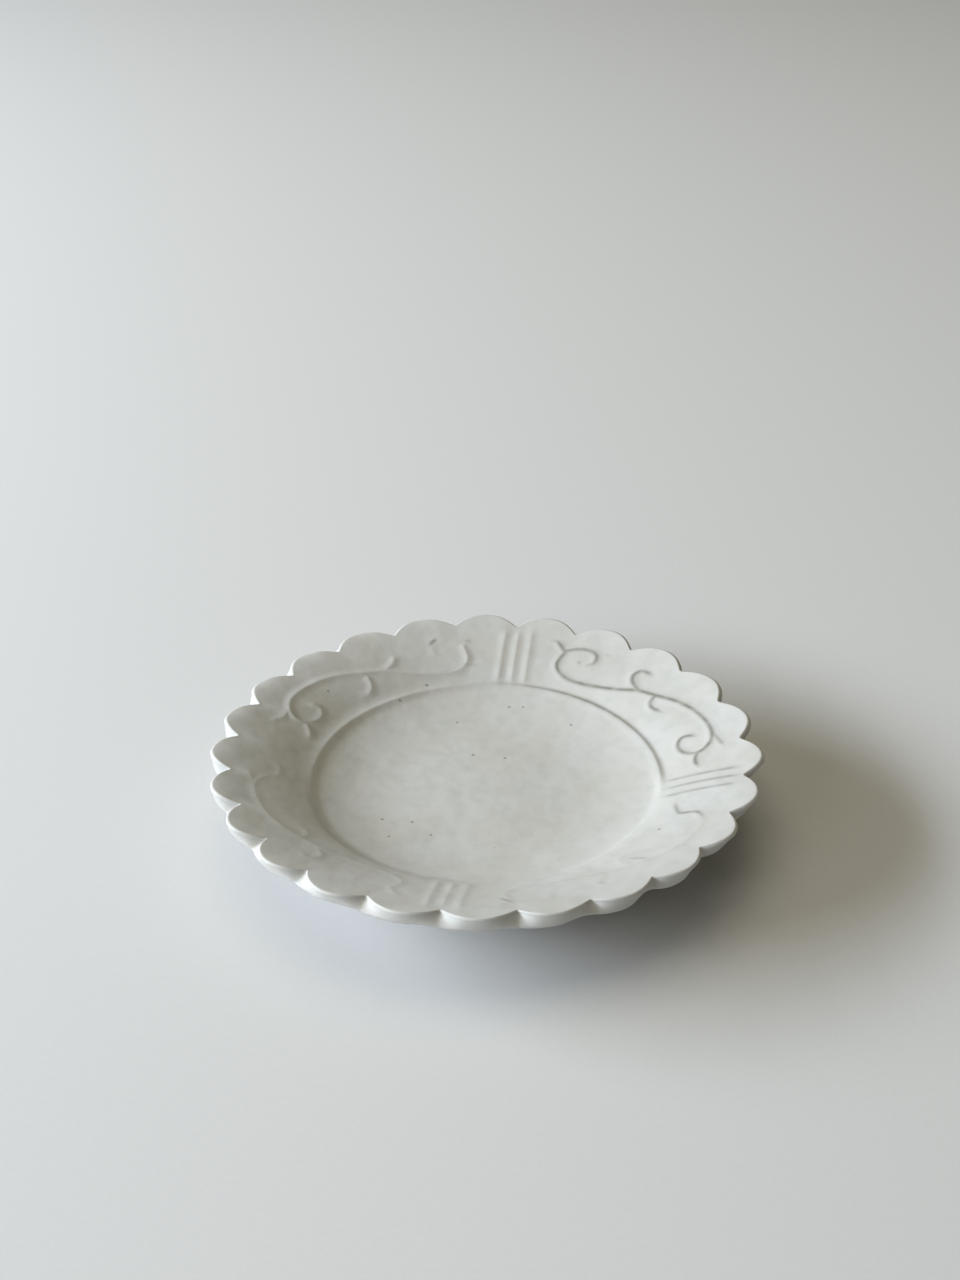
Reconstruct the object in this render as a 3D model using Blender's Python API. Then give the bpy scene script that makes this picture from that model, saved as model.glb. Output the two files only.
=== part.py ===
"""Small footed plate with a scalloped edge and raised ornament on a flared rim.

Metres, +Z up. The origin is at the middle of the face the foot stands on. The
four groups of ribs lie on the X and Y axes, and each falls on a notch of the edge.
"""
from math import asin, cos, hypot, pi, radians, sin, sqrt

import bmesh
import bpy
from mathutils import Vector

# Driving dimensions of the dish
TIP_DIAMETER = 0.150
SCALLOPS = 24
NOTCH_DEPTH = 0.00425
WELL_DIAMETER = 0.0966
WELL_FLAT_DIAMETER = 0.0360
WELL_DEPTH = 0.0047
WELL_CURVE = 2.4
SHOULDER_MARGIN = 0.0002
RIM_RISE = 0.0080
LIP_INSET = 0.0034
LIP_RISE = 0.0005
RIM_THICKNESS = 0.0045
EDGE_ROUND = 0.0013
LOW_EDGE_ROUND = 0.0006
NOTCH_DEPTH_BELOW = 0.0003
UNDERCUT = 0.0009
UNDER_BELLY = 0.0006
FLOOR_THICKNESS = 0.0045

# Driving dimensions of the foot
FOOT_DIAMETER = 0.074
FOOT_WIDTH = 0.0060
FOOT_HEIGHT = 0.0060
FOOT_TAPER = 0.0008
FOOT_CHAMFER = 0.0006
FOOT_LEDGE = 0.0012

# Driving dimensions of the raised ornament
BEAD_WIDTH = 0.0015
BEAD_HEIGHT = 0.0005
LINE_WIDTH = 0.0012
LINE_HEIGHT = 0.0006
LINE_END_SHARE = 0.45
RIB_SPACING = 0.0040
RIB_CLEARANCE = 0.0008
RIB_END_INSET = 0.0030
SEAT_GAP = 0.0003

# Fineness of the solids
STEPS_PER_SCALLOP = 6
LIP_RINGS = 2
EDGE_RINGS = 3
WALL_RINGS = 7
UNDER_RINGS = 3
BEAD_STEPS = 96
FOOT_STEPS = 96
ARCH_STEPS = 4
RIB_STEPS = 4
SCROLL_STEPS = 2

# Worked out from the driving dimensions
TIP_RADIUS = TIP_DIAMETER / 2
NOTCH_RADIUS = TIP_RADIUS - NOTCH_DEPTH
WELL_RADIUS = WELL_DIAMETER / 2
WELL_FLAT_RADIUS = WELL_FLAT_DIAMETER / 2
SCALLOP_HALF_ANGLE = pi / SCALLOPS
FLOOR_TOP = FOOT_HEIGHT + FLOOR_THICKNESS
SHOULDER_TOP = FLOOR_TOP + WELL_DEPTH
SHOULDER_HALF_WIDTH = BEAD_WIDTH / 2 + SHOULDER_MARGIN
SHOULDER_INNER = WELL_RADIUS - SHOULDER_HALF_WIDTH
SHOULDER_OUTER = WELL_RADIUS + SHOULDER_HALF_WIDTH
LIP_START = NOTCH_RADIUS - EDGE_ROUND - LIP_INSET
LIP_WIDTH = TIP_RADIUS - LIP_START
RIM_SLOPE = RIM_RISE / (NOTCH_RADIUS - SHOULDER_OUTER)
FOOT_OUTER = FOOT_DIAMETER / 2
SEAT_OUTER = FOOT_OUTER + FOOT_LEDGE

# The scroll of one quarter of the rim, drawn by hand. Each point is the angle in
# degrees from the back or front ribs, then the share of the way from the well to
# the notches. The main vine runs from a curl beside the ribs to a second curl.
VINE = [(9.9, 0.80), (11.5, 0.78), (13.2, 0.70), (14.2, 0.64), (13.7, 0.55), (13.4, 0.44), (14.6, 0.34),
        (17.2, 0.27), (20.5, 0.24), (25.5, 0.25), (31.5, 0.30), (36.0, 0.37), (40.5, 0.46), (46.5, 0.54),
        (52.0, 0.63), (58.0, 0.70), (65.0, 0.735), (70.0, 0.725), (73.2, 0.66), (75.2, 0.57), (76.0, 0.47),
        (75.2, 0.38), (72.8, 0.305), (69.5, 0.295), (67.3, 0.36), (67.3, 0.45), (69.0, 0.54)]
FIRST_CURL = [(14.2, 0.66), (16.4, 0.72), (19.0, 0.755), (21.8, 0.745), (23.2, 0.68), (23.3, 0.59), (22.0, 0.53),
              (20.0, 0.50)]
OUTER_SHOOT = [(40.2, 0.455), (37.4, 0.50), (36.0, 0.59), (36.6, 0.69), (38.6, 0.74), (40.6, 0.735)]
OUTER_TAIL = [(70.5, 0.72), (74.0, 0.76), (77.0, 0.79)]
INNER_SHOOT = {"straight": [(46.3, 0.535), (47.3, 0.46), (48.7, 0.395), (51.0, 0.37), (53.2, 0.39)],
               "mirrored": [(46.3, 0.535), (46.4, 0.41), (47.3, 0.30), (49.2, 0.235), (51.4, 0.225)]}
INNER_TAIL = {"straight": [(75.9, 0.475), (77.9, 0.43), (80.4, 0.42), (82.6, 0.45)],
              "mirrored": [(75.3, 0.385), (76.2, 0.27), (78.2, 0.20), (80.6, 0.155)]}

# Where each scroll starts from, and which way round it runs
SCROLLS = {"scroll_back_right": (90.0, -1, "straight"),
           "scroll_back_left": (90.0, 1, "mirrored"),
           "scroll_front_left": (270.0, -1, "straight"),
           "scroll_front_right": (270.0, 1, "mirrored")}
RIB_GROUPS = {"right": 0.0, "back": 90.0, "left": 180.0, "front": 270.0}
RIBS_IN_GROUP = (1, 2, 3)

GLAZED_WHITE = (0.77, 0.775, 0.745, 1.0)
BARE_CLAY = (0.62, 0.56, 0.48, 1.0)


def clear_scene():
    """Start from an empty scene."""
    for old in list(bpy.data.objects):
        bpy.data.objects.remove(old, do_unlink=True)


def make_material(name, colour, roughness):
    """A plain ceramic surface."""
    material = bpy.data.materials.new(name)
    material.use_nodes = True
    shader = material.node_tree.nodes["Principled BSDF"]
    shader.inputs["Base Color"].default_value = colour
    shader.inputs["Roughness"].default_value = roughness
    shader.inputs["Metallic"].default_value = 0.0
    return material


def add_object(name, mesh_builder, material):
    """Turn a bmesh into a named object with outward faces and smooth shading."""
    bmesh.ops.recalc_face_normals(mesh_builder, faces=mesh_builder.faces)
    mesh = bpy.data.meshes.new(name)
    mesh_builder.to_mesh(mesh)
    mesh_builder.free()
    mesh.shade_smooth()
    mesh.set_sharp_from_angle(angle=radians(40))
    mesh.materials.append(material)
    piece = bpy.data.objects.new(name, mesh)
    bpy.context.collection.objects.link(piece)
    return piece


def polar(radius, angle, height):
    """A point given by its distance from the axis, its angle and its height."""
    return Vector((radius * cos(angle), radius * sin(angle), height))


def rim_height(radius):
    """Height of the dish's upper surface between the well and the edge."""
    height = SHOULDER_TOP + max(0.0, radius - SHOULDER_OUTER) * RIM_SLOPE
    past_lip = max(0.0, radius - LIP_START) / LIP_WIDTH
    return height + LIP_RISE * past_lip ** 2


def rim_normal(radius):
    """How the upper surface leans at a radius: outward and upward parts of its normal."""
    reach = LINE_WIDTH / 2
    slope = (rim_height(radius + reach) - rim_height(radius - reach)) / (2 * reach)
    length = hypot(slope, 1.0)
    return -slope / length, 1.0 / length


def edge_radius(angle, depth):
    """Plan outline of the edge: a row of round petals that meet in sharp notches."""
    notch = TIP_RADIUS - depth
    half_chord = notch * sin(SCALLOP_HALF_ANGLE)
    sagitta = TIP_RADIUS - notch * cos(SCALLOP_HALF_ANGLE)
    petal_radius = (half_chord ** 2 + sagitta ** 2) / (2 * sagitta)
    centre = TIP_RADIUS - petal_radius
    offset = angle % (2 * SCALLOP_HALF_ANGLE) - SCALLOP_HALF_ANGLE
    return centre * cos(offset) + sqrt(petal_radius ** 2 - (centre * sin(offset)) ** 2)


def well_profile():
    """Radius and height of the rings from the flat of the well up its curved wall to the shoulder."""
    rings = []
    for step in range(WALL_RINGS + 1):
        share = step / WALL_RINGS
        radius = WELL_FLAT_RADIUS + (SHOULDER_INNER - WELL_FLAT_RADIUS) * share
        rings.append((radius, FLOOR_TOP + WELL_DEPTH * share ** WELL_CURVE))
    rings.append((SHOULDER_OUTER, SHOULDER_TOP))
    return rings


def edge_profile(angle):
    """Radius and height of the rings over the rim and round its edge, at one angle.

    The notches are deep at the upper surface and die out towards the underside.
    """
    top_radius = edge_radius(angle, NOTCH_DEPTH)
    low_radius = edge_radius(angle, NOTCH_DEPTH_BELOW) - UNDERCUT
    middle = (SHOULDER_OUTER + LIP_START) / 2
    rings = [(middle, rim_height(middle))]
    lip_end = top_radius - EDGE_ROUND
    for step in range(LIP_RINGS + 1):
        radius = LIP_START + (lip_end - LIP_START) * step / LIP_RINGS
        rings.append((radius, rim_height(radius)))
    top_height = rim_height(lip_end)
    low_height = rim_height(TIP_RADIUS) - RIM_THICKNESS
    face_height = top_height - low_height - LOW_EDGE_ROUND
    tip_face_height = rim_height(TIP_RADIUS - EDGE_ROUND) - low_height - LOW_EDGE_ROUND
    drop = EDGE_ROUND * face_height / tip_face_height
    for step in range(1, EDGE_RINGS + 1):
        turn = pi / 2 * step / EDGE_RINGS
        rings.append((lip_end + EDGE_ROUND * sin(turn), top_height - drop * (1 - cos(turn))))
    rings.append((low_radius, low_height + LOW_EDGE_ROUND))
    rings.append((low_radius - LOW_EDGE_ROUND, low_height))
    return rings


def under_profile(rings):
    """Radius and height of the rings from the edge's last ring in to the seat of the foot."""
    edge_radius_low, edge_height_low = rings[-1]
    under = []
    for step in range(1, UNDER_RINGS + 1):
        share = step / UNDER_RINGS
        radius = edge_radius_low + (SEAT_OUTER - edge_radius_low) * share
        height = edge_height_low + (FOOT_HEIGHT - edge_height_low) * share
        under.append((radius, height - UNDER_BELLY * 4 * share * (1 - share)))
    return under


def build_plate_body(material):
    """The pressed dish: well, shoulder, rim, petal edge and plain underside."""
    steps = SCALLOPS * STEPS_PER_SCALLOP
    builder = bmesh.new()
    columns = []
    for step in range(steps):
        angle = 2 * pi * step / steps
        edge = edge_profile(angle)
        profile = well_profile() + edge + under_profile(edge)
        columns.append([builder.verts.new(polar(radius, angle, height)) for radius, height in profile])
    well_middle = builder.verts.new((0, 0, FLOOR_TOP))
    seat_middle = builder.verts.new((0, 0, FOOT_HEIGHT))
    for step in range(steps):
        here = columns[step]
        after = columns[(step + 1) % steps]
        builder.faces.new((well_middle, here[0], after[0]))
        for low in range(len(here) - 1):
            builder.faces.new((here[low], here[low + 1], after[low + 1], after[low]))
        builder.faces.new((here[-1], seat_middle, after[-1]))
    return add_object("plate_body", builder, material)


def turned_ring(name, profile, steps, material):
    """A closed ring with the given cross-section, as radius and height pairs."""
    builder = bmesh.new()
    columns = []
    for step in range(steps):
        angle = 2 * pi * step / steps
        columns.append([builder.verts.new(polar(radius, angle, height)) for radius, height in profile])
    count = len(profile)
    for step in range(steps):
        here = columns[step]
        after = columns[(step + 1) % steps]
        for corner in range(count):
            follow = (corner + 1) % count
            builder.faces.new((here[corner], here[follow], after[follow], after[corner]))
    return add_object(name, builder, material)


def build_foot_ring(material):
    """The ring that the plate stands on, a little narrower where it meets the table."""
    top = FOOT_HEIGHT - SEAT_GAP
    inner = FOOT_OUTER - FOOT_WIDTH
    profile = [(inner, top),
               (FOOT_OUTER, top),
               (FOOT_OUTER - FOOT_TAPER, FOOT_CHAMFER),
               (FOOT_OUTER - FOOT_TAPER - FOOT_CHAMFER, 0.0),
               (inner + FOOT_TAPER + FOOT_CHAMFER, 0.0),
               (inner + FOOT_TAPER, FOOT_CHAMFER)]
    return turned_ring("foot_ring", profile, FOOT_STEPS, material)


def arch(width, height):
    """Sideways and upward offsets of a low rounded line that lies on a surface."""
    turns = [pi * step / ARCH_STEPS for step in range(ARCH_STEPS + 1)]
    return [(width / 2 * cos(turn), SEAT_GAP + height * sin(turn)) for turn in turns]


def build_well_bead(material):
    """The raised line round the well, laid on the flat shoulder."""
    section = arch(BEAD_WIDTH, BEAD_HEIGHT)
    profile = [(WELL_RADIUS + side, SHOULDER_TOP + up) for side, up in section]
    return turned_ring("well_bead", profile, BEAD_STEPS, material)


def on_rim(radius, angle, side, up, heading):
    """A point beside and above a stroke on the rim.

    The heading is the stroke's direction in plan, and side is measured to its left.
    """
    outward, upward = rim_normal(radius)
    normal = polar(outward, angle, upward)
    across = normal.cross(heading).normalized()
    return polar(radius, angle, rim_height(radius)) + across * side + normal * up


def stroke_mesh(route):
    """A raised line along a route of radius and angle pairs, with tapered ends."""
    builder = bmesh.new()
    points = [polar(radius, angle, rim_height(radius)) for radius, angle in route]
    last = len(route) - 1
    rings = []
    for index, (radius, angle) in enumerate(route):
        heading = points[min(index + 1, last)] - points[max(index - 1, 0)]
        share = LINE_END_SHARE if index in (0, last) else 1.0
        section = arch(LINE_WIDTH * share, LINE_HEIGHT * share)
        ring = [builder.verts.new(on_rim(radius, angle, side, up, heading)) for side, up in section]
        rings.append(ring)
    count = ARCH_STEPS + 1
    for here, after in zip(rings, rings[1:]):
        for corner in range(count):
            follow = (corner + 1) % count
            builder.faces.new((here[corner], after[corner], after[follow], here[follow]))
    builder.faces.new(rings[0])
    builder.faces.new(reversed(rings[-1]))
    return builder


def build_rib(name, group_angle, place, material):
    """One straight rib of a group of parallel ribs."""
    start = WELL_RADIUS + BEAD_WIDTH / 2 + RIB_CLEARANCE
    end = NOTCH_RADIUS - RIB_END_INSET
    sideways = (place - RIBS_IN_GROUP[1]) * RIB_SPACING
    route = []
    for step in range(RIB_STEPS + 1):
        along = start + (end - start) * step / RIB_STEPS
        radius = hypot(along, sideways)
        route.append((radius, group_angle + asin(sideways / radius)))
    return add_object(name, stroke_mesh(route), material)


def smooth_route(points, steps):
    """Points on a smooth curve through the given points, with steps between each pair."""
    last = len(points) - 1
    route = []
    for index in range(last):
        before = Vector(points[max(index - 1, 0)])
        start = Vector(points[index])
        end = Vector(points[index + 1])
        after = Vector(points[min(index + 2, last)])
        for step in range(steps):
            t = step / steps
            bend = 2 * before - 5 * start + 4 * end - after
            twist = 3 * (start - end) + after - before
            route.append((2 * start + (end - before) * t + bend * t ** 2 + twist * t ** 3) / 2)
    route.append(Vector(points[last]))
    return route


def scroll_route(points, from_angle, turn):
    """A drawn stroke as radius and angle pairs on the rim."""
    band = NOTCH_RADIUS - WELL_RADIUS
    return [(WELL_RADIUS + share * band, radians(from_angle + turn * angle))
            for angle, share in smooth_route(points, SCROLL_STEPS)]


def build_scroll(name, from_angle, turn, kind, material):
    """One vine scroll: its strokes are joined into a single raised piece."""
    strokes = [VINE, FIRST_CURL, OUTER_SHOOT, OUTER_TAIL, INNER_SHOOT[kind], INNER_TAIL[kind]]
    pieces = []
    for number, stroke in enumerate(strokes):
        mesh = stroke_mesh(scroll_route(stroke, from_angle, turn))
        pieces.append(add_object(name if number == 0 else f"{name}_stroke_{number}", mesh, material))
    vine = pieces[0]
    for shoot in pieces[1:]:
        shoot.hide_render = True
        shoot.display_type = "WIRE"
        join = vine.modifiers.new("join", "BOOLEAN")
        join.operation = "UNION"
        join.solver = "EXACT"
        join.object = shoot
    return vine


def main():
    """Build the plate."""
    clear_scene()
    glaze = make_material("white_glaze", GLAZED_WHITE, 0.45)
    clay = make_material("bare_clay", BARE_CLAY, 0.8)
    build_plate_body(glaze)
    build_foot_ring(clay)
    build_well_bead(glaze)
    for side, angle in RIB_GROUPS.items():
        for place in RIBS_IN_GROUP:
            build_rib(f"rib_{side}_{place}", radians(angle), place, glaze)
    for name, (from_angle, turn, kind) in SCROLLS.items():
        build_scroll(name, from_angle, turn, kind, glaze)


main()
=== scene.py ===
"""Looks of a small footed plate: satin off-white glaze over a pressed dish with soft raised ornament.

Metres, +Z up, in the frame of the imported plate. The dish, its bead, ribs and scrolls are one skin of
glaze, as they are after firing, and the foot is a ring under it whose lower edge is bare clay.
"""
import logging
import math
from dataclasses import dataclass, field
from enum import Enum

import bpy
import numpy as np
from mathutils import Matrix, Vector


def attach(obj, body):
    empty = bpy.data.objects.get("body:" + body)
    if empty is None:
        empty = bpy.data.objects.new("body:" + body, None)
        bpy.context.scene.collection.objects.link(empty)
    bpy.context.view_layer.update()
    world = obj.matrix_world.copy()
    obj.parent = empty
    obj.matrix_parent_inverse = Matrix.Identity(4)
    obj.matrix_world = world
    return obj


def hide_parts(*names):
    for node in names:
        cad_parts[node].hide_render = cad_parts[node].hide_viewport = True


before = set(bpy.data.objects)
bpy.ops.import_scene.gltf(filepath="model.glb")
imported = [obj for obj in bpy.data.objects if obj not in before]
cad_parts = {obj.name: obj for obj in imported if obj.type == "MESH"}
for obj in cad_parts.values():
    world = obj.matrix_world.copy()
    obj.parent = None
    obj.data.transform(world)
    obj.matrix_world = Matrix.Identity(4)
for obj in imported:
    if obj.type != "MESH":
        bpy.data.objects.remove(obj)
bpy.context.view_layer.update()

MM = 0.001
QUARTER_TURN = math.pi / 2
ROOT = "root"
log = logging.getLogger("plate")

Array = np.ndarray
Values = Array | float
Socket = bpy.types.NodeSocket
Inputs = dict[str | int, object]
Colour = tuple[float, float, float]
Span = tuple[float, float]
Rows = tuple[tuple[float, ...], ...]


class Slot(Enum):
    """Material slots of the record."""

    GLAZE = "white_glaze"
    CLAY = "bare_clay"


def smooth_ramp(share: Values) -> Values:
    """An S-shaped ramp from 0 to 1, held at its ends."""
    held = np.clip(share, 0.0, 1.0)
    return held * held * (3.0 - 2.0 * held)


def steps(count: int) -> Array:
    """Equal shares of a way, from the first step to 1."""
    return np.arange(1, count + 1) / count


def blend(first: Values, second: Values, share: Values) -> Values:
    """Go from one value to another by a share."""
    return first + (second - first) * share


def polar_points(radius: Values, angle: Array, height: Values) -> Array:
    """Points from their distance to the axis, their angle in radians and their height."""
    parts = np.broadcast_arrays(radius * np.cos(angle), radius * np.sin(angle), height)
    return np.stack(parts, axis=-1)


def wave_sum(angle: Array, waves: Rows) -> Array:
    """A slow uneven wave round the plate, from each wave's count per turn, size and phase in degrees."""
    return sum(size * np.cos(count * angle - math.radians(phase)) for count, size, phase in waves)


def by_place(angle: Array, places: Rows) -> Array:
    """Value at an angle, between values given at a few places round the plate in degrees."""
    return np.interp(np.degrees(angle), *zip(*places), period=360.0)


class RingSkin:
    """A skin of rings of points, each with as many points as its neighbour, half, twice or one."""

    def __init__(self) -> None:
        self.rings: list[Array] = []
        self.marks: list[dict[str, Array]] = []

    def add(self, points: Array, **marks: Array) -> None:
        """Add the next ring of points, with named values for the finish, one for each point."""
        self.rings.append(points)
        self.marks.append(marks)

    def _faces(self, closed: bool) -> list[list[int]]:
        """Faces between neighbouring rings.

        Args:
            closed: whether the last ring joins the first one.

        Returns:
            All quads, then all triangles, as indices of their points.
        """
        ends = np.cumsum([len(ring) for ring in self.rings])
        indices = [np.arange(end - len(ring), end) for end, ring in zip(ends, self.rings)]
        quads = []
        triangles = []
        for low, high in zip(indices, indices[1:] + (indices[:1] if closed else [])):
            low_next = np.roll(low, -1)
            high_next = np.roll(high, -1)
            if len(low) == len(high):
                quads.append(np.stack([low, high, high_next, low_next], axis=1))
            elif len(high) == 1:
                triangles.append(np.stack(np.broadcast_arrays(low, high, low_next), axis=1))
            elif len(low) == 1:
                triangles.append(np.stack(np.broadcast_arrays(low, high, high_next), axis=1))
            else:
                coarse, fine = sorted((low, high), key=len)
                order = [0, 1, 2] if coarse is low else [1, 0, 2]
                after = np.roll(coarse, -1)
                even = fine[0::2]
                odd = fine[1::2]
                for corners in ((coarse, even, odd), (coarse, odd, after), (after, odd, np.roll(even, -1))):
                    triangles.append(np.stack(corners, axis=1)[:, order])
        return [face for group in quads + triangles for face in group.tolist()]

    def to_object(self, name: str, closed: bool = False) -> bpy.types.Object:
        """Make a smooth mesh object of the rings.

        Args:
            name: the piece's name.
            closed: whether the last ring joins the first one.

        Returns:
            The new object, linked to the scene.
        """
        mesh = bpy.data.meshes.new(name)
        mesh.from_pydata(np.concatenate(self.rings), [], self._faces(closed))
        mesh.validate()
        mesh.shade_smooth()
        for mark in sorted({mark for marks in self.marks for mark in marks}):
            values = [marks.get(mark, np.zeros(len(ring))) for marks, ring in zip(self.marks, self.rings)]
            attribute = mesh.attributes.new(mark, "FLOAT", "POINT")
            attribute.data.foreach_set("value", np.concatenate(values).astype(np.float32))
        piece = bpy.data.objects.new(name, mesh)
        bpy.context.scene.collection.objects.link(piece)
        return piece


class NodeBench:
    """A material's node tree, with short ways to add and join nodes."""

    def __init__(self, name: str) -> None:
        self.material = bpy.data.materials.new(name)
        self.material.use_nodes = True
        self.tree = self.material.node_tree
        self.shader = self.tree.nodes["Principled BSDF"]

    def feed(self, node: bpy.types.Node, inputs: Inputs) -> None:
        """Link sockets to a node's inputs, or set plain values there.

        Args:
            node: the node.
            inputs: a socket, number, colour or vector for each input, by name or place.
        """
        for key, value in inputs.items():
            target = node.inputs[key]
            if isinstance(value, Socket):
                self.tree.links.new(value, target)
            else:
                target.default_value = (*value, 1.0) if target.type == "RGBA" else value

    def node(self, kind: str, inputs: Inputs, **settings: object) -> bpy.types.Node:
        """Add a node.

        Args:
            kind: the node's type.
            inputs: what its inputs take, by name or place.
            settings: its own options, by name.

        Returns:
            The new node.
        """
        made = self.tree.nodes.new(kind)
        for key, value in settings.items():
            setattr(made, key, value)
        self.feed(made, inputs)
        return made

    def place(self) -> Socket:
        """Where a point is on the piece, in metres."""
        return self.node("ShaderNodeTexCoord", {}).outputs["Object"]

    def mark(self, name: str) -> Socket:
        """A named value that the mesh carries."""
        return self.node("ShaderNodeAttribute", {}, attribute_name=name).outputs["Fac"]

    def math(self, operation: str, first: object, second: object) -> Socket:
        """A sum, product or other simple operation on two values."""
        return self.node("ShaderNodeMath", {0: first, 1: second}, operation=operation).outputs[0]

    def noise(self, size: float, detail: float = 2.0, roughness: float = 0.5) -> Socket:
        """A random pattern about 0.5, by its blotches' width and its finer layers' number and strength."""
        inputs = {"Scale": 1.0 / size, "Detail": detail, "Roughness": roughness, "Vector": self.place()}
        return self.node("ShaderNodeTexNoise", inputs).outputs["Fac"]

    def stray(self, size: float, detail: float, reach: float) -> Socket:
        """A random shift about 0 that spans a reach, in blotches of a size."""
        return self.math("MULTIPLY", self.math("SUBTRACT", self.noise(size, detail), 0.5), reach)

    def spread(self, value: Socket, source: Span, result: Span = (0.0, 1.0)) -> Socket:
        """Map a value from one range to another, held at the ends and smooth between."""
        inputs = dict(zip(("Value", "From Min", "From Max", "To Min", "To Max"), (value, *source, *result)))
        return self.node("ShaderNodeMapRange", inputs, interpolation_type="SMOOTHSTEP").outputs["Result"]

    def tint(self, share: Socket, first: object, second: object) -> Socket:
        """Mix two colours by the second one's share."""
        made = self.node("ShaderNodeMix", {}, data_type="RGBA")
        self.feed(made, {"Factor": share, "A": first, "B": second})
        return next(socket for socket in made.outputs if socket.type == "RGBA")

    def bump(self, height: Socket, depth: float, before: Socket | None = None) -> Socket:
        """Relief from a value of about 0 to 1 and that range's depth, on a coarser relief's normal."""
        coarser = {} if before is None else {"Normal": before}
        inputs = {"Strength": 1.0, "Distance": depth, "Height": height, **coarser}
        return self.node("ShaderNodeBump", inputs).outputs["Normal"]


@dataclass(frozen=True)
class Pattern:
    """A random pattern: its blotches' width, the part of it that is used, and what comes out there."""

    size: float
    span: Span
    result: Span = (0.0, 1.0)
    detail: float = 2.0
    roughness: float = 0.5

    def add(self, bench: NodeBench) -> Socket:
        """Add the pattern to a material."""
        return bench.spread(bench.noise(self.size, self.detail, self.roughness), self.span, self.result)


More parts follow.
